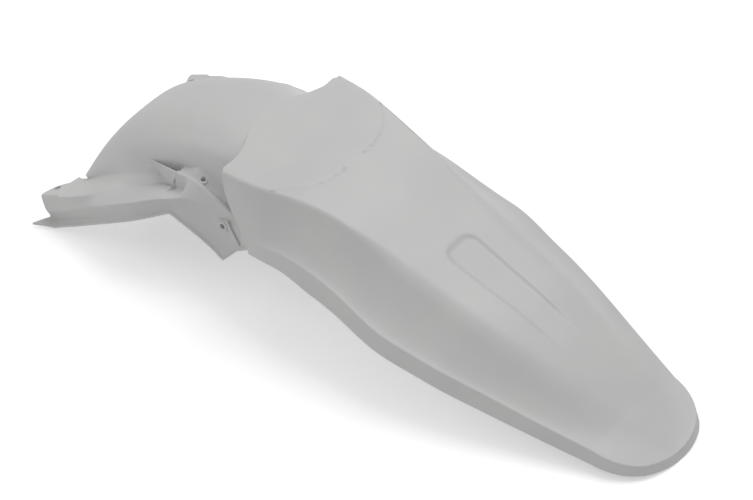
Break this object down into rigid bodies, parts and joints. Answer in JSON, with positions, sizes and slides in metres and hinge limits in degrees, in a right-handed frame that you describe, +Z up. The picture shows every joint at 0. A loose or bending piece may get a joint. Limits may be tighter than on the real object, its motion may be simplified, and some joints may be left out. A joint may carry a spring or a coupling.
{
  "type": "motorcycle rear fender",
  "caption": "White one-piece moulded rear fender for an off-road motorcycle, with a flat seat shelf, flared side walls and two forward arms.",
  "frame": {"origin": "centre of the footprint, at the height of the surface the fender lies on", "axes": "+X towards the tail tip, +Y to the fender's right side, +Z up as it lies on a table"},
  "size_m": [0.707, 0.264, 0.1665],
  "materials": {
    "white_polypropylene": "satin-gloss, as moulded"
  },
  "bodies": {
    "root": {"rear_fender": "white_polypropylene"}
  },
  "joints": []
}
